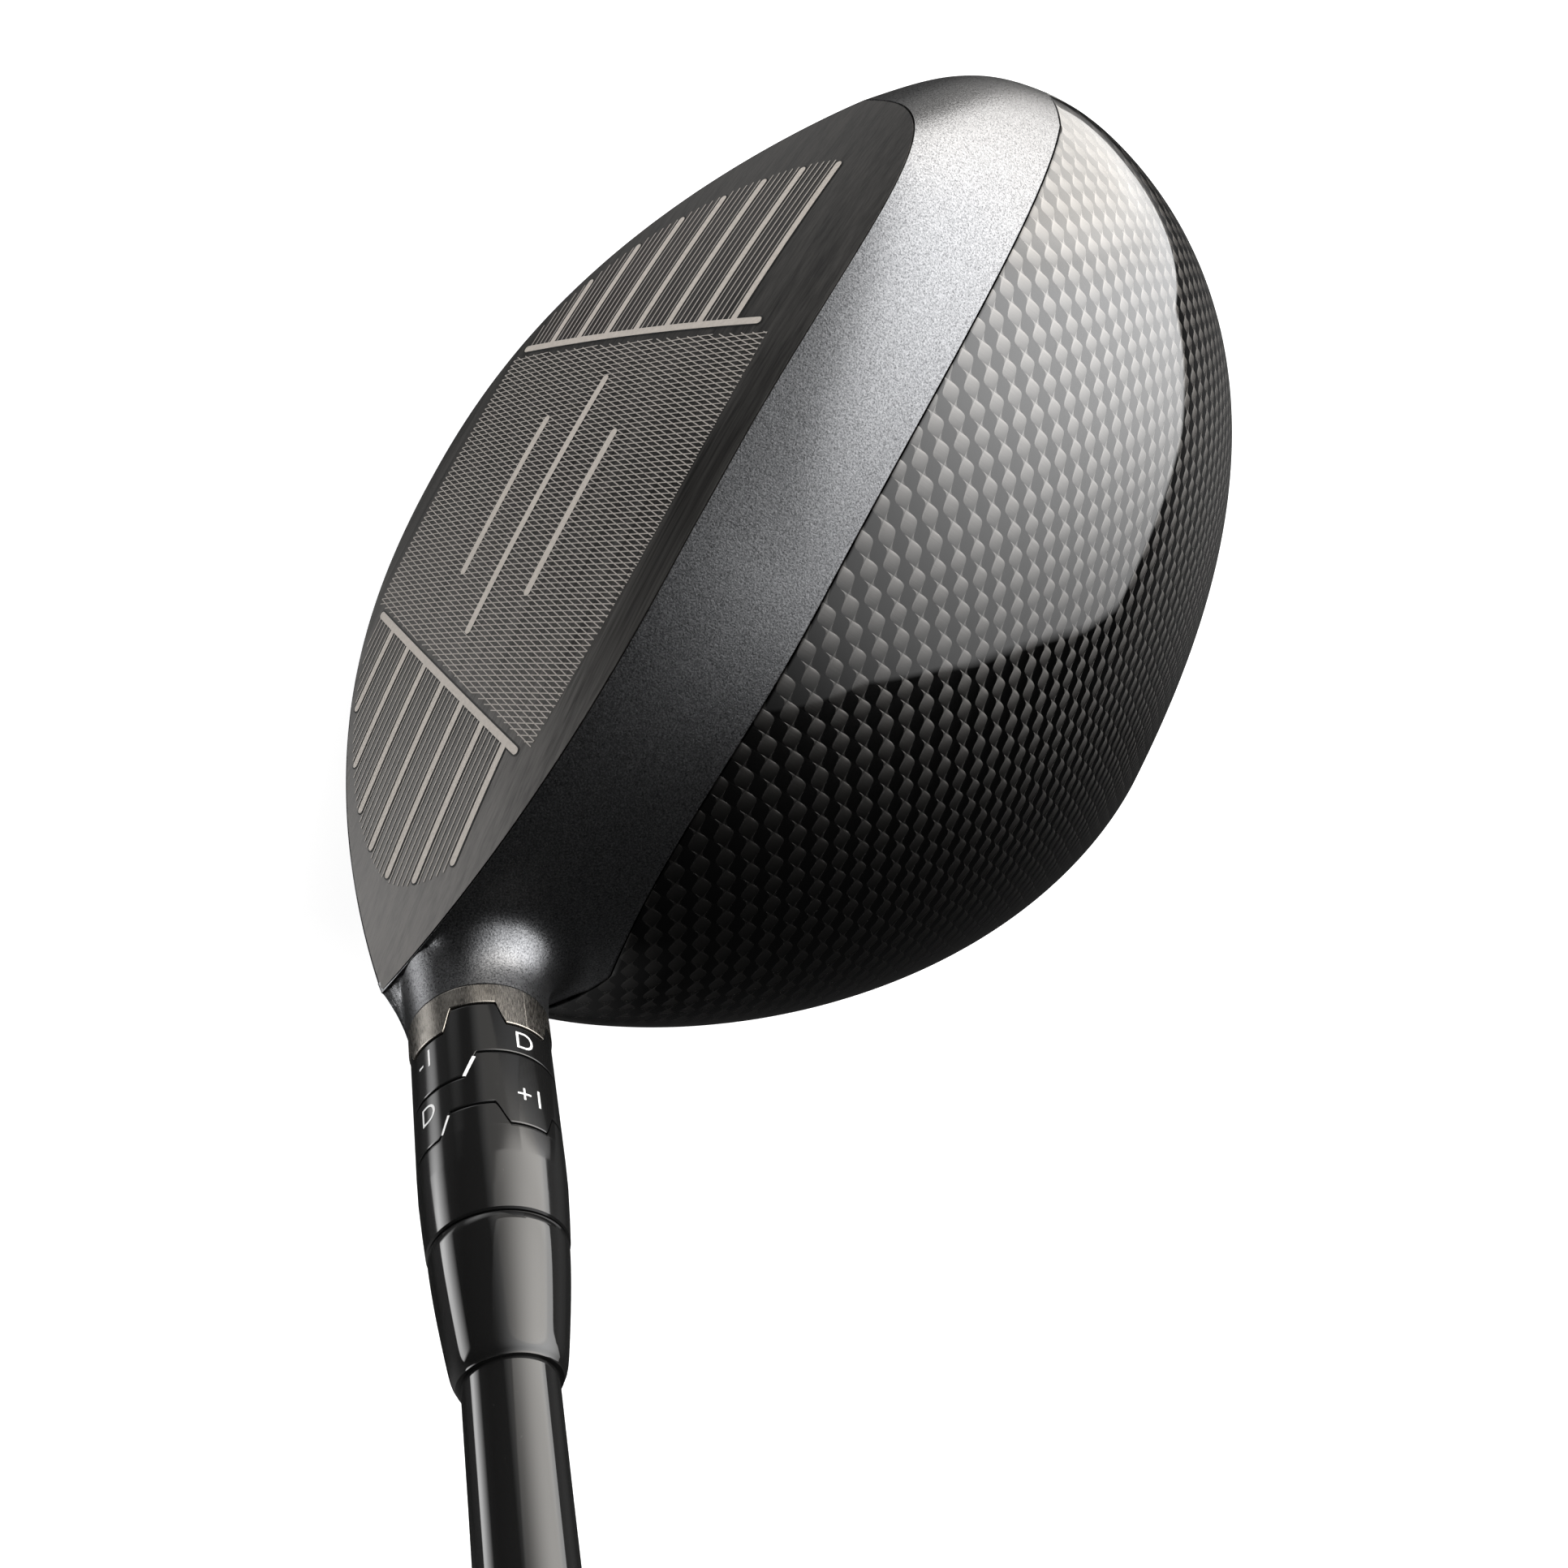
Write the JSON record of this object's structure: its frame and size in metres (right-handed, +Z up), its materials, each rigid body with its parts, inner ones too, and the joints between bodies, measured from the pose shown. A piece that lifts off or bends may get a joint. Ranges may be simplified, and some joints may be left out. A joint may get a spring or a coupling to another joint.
{
  "type": "golf driver",
  "caption": "Golf club with a large hollow metal and carbon head, a rotating adjustable hosel, a tapered graphite shaft and a rubber grip.",
  "frame": {"origin": "point of the sole that rests on the ground under the middle of the face, on the front weight", "axes": "+X from the toe to the heel, +Y from the face to the back of the head, +Z up from the ground"},
  "size_m": [0.7265, 0.1068, 0.9807],
  "materials": {
    "face": "dark charcoal, finely brushed across the face, pale score lines",
    "paint": "blue-grey metallic flake under clear lacquer",
    "carbon": "black carbon weave under deep clear gloss",
    "skirt": "plain black gloss composite",
    "titanium": "bare titanium, brushed around the ring",
    "aluminium": "machined",
    "black_gloss": "black gloss with pale printed dial marks",
    "steel": "machined steel",
    "tungsten": "dark machined tungsten alloy",
    "graphite": "black lacquered carbon shaft",
    "rubber": "matt black grip rubber",
    "fabric_tape": "thin double-sided paper tape"
  },
  "bodies": {
    "club_shaft": {"shaft": "graphite", "tip_plug": "steel", "grip": "rubber", "grip_tape": "fabric_tape", "grip_cap": "rubber", "shaft_adapter": "black_gloss", "ferrule": "black_gloss"},
    "upper_cog": {"upper_cog": "black_gloss"},
    "lower_cog": {"lower_cog": "black_gloss"},
    "head": {"titanium_body": "paint", "face_plate": "face", "crown_panel": "carbon", "sole_panel": "carbon", "skirt_ring": "skirt", "hosel_tube": "aluminium", "hosel_collar": "titanium", "bolt_seat": "steel", "bolt_keeper": "steel", "front_port": "aluminium", "rear_port": "aluminium"},
    "hosel_bolt": {"hosel_bolt": "steel", "bolt_washer": "steel"},
    "front_weight": {"front_weight": "tungsten"},
    "front_screw": {"front_screw": "steel"},
    "rear_weight": {"rear_weight": "tungsten"},
    "rear_screw": {"rear_screw": "steel"}
  },
  "joints": [
    {"name": "head_release", "type": "slide", "parent": "club_shaft", "child": "head", "axis": [-0.5376, 0, -0.8432], "range_m": [0, 0.045]},
    {"name": "cog_index", "type": "hinge", "parent": "club_shaft", "child": "upper_cog", "pos_m": [0.0429, -0.0045, 0.034], "axis": [0.5376, 0, 0.8432], "range_deg": [0, 90]},
    {"name": "cog_slide", "type": "slide", "parent": "upper_cog", "child": "lower_cog", "axis": [-0.5376, 0, -0.8432], "range_m": [0, 0.0045]},
    {"name": "bolt_turn", "type": "hinge", "parent": "head", "child": "hosel_bolt", "pos_m": [0.0429, -0.0045, 0.034], "axis": [0.5376, 0, 0.8432], "range_deg": [0, 16200]},
    {"name": "front_screw_turn", "type": "hinge", "parent": "front_weight", "child": "front_screw", "pos_m": [0, 0.006, 0], "axis": [0, 0, -1], "range_deg": [0, 2880]},
    {"name": "front_weight_slide", "type": "slide", "parent": "head", "child": "front_weight", "axis": [0, 0, -1], "range_m": [0, 0.008]},
    {"name": "rear_screw_turn", "type": "hinge", "parent": "rear_weight", "child": "rear_screw", "pos_m": [-0.015, 0.067, 0.0118], "axis": [0, 0.3665, -0.9304], "range_deg": [0, 2880]},
    {"name": "rear_weight_slide", "type": "slide", "parent": "head", "child": "rear_weight", "axis": [0, 0.3665, -0.9304], "range_m": [0, 0.008]}
  ],
  "couplings": [
    {"joint": "cog_index", "follows": "head_release", "rad_per_m": 34.903},
    {"joint": "cog_slide", "follows": "head_release", "ratio": 0.0999},
    {"joint": "bolt_turn", "follows": "head_release", "rad_per_m": 6282.6},
    {"joint": "front_screw_turn", "follows": "front_weight_slide", "rad_per_m": 6282.6},
    {"joint": "rear_screw_turn", "follows": "rear_weight_slide", "rad_per_m": 6282.6}
  ]
}
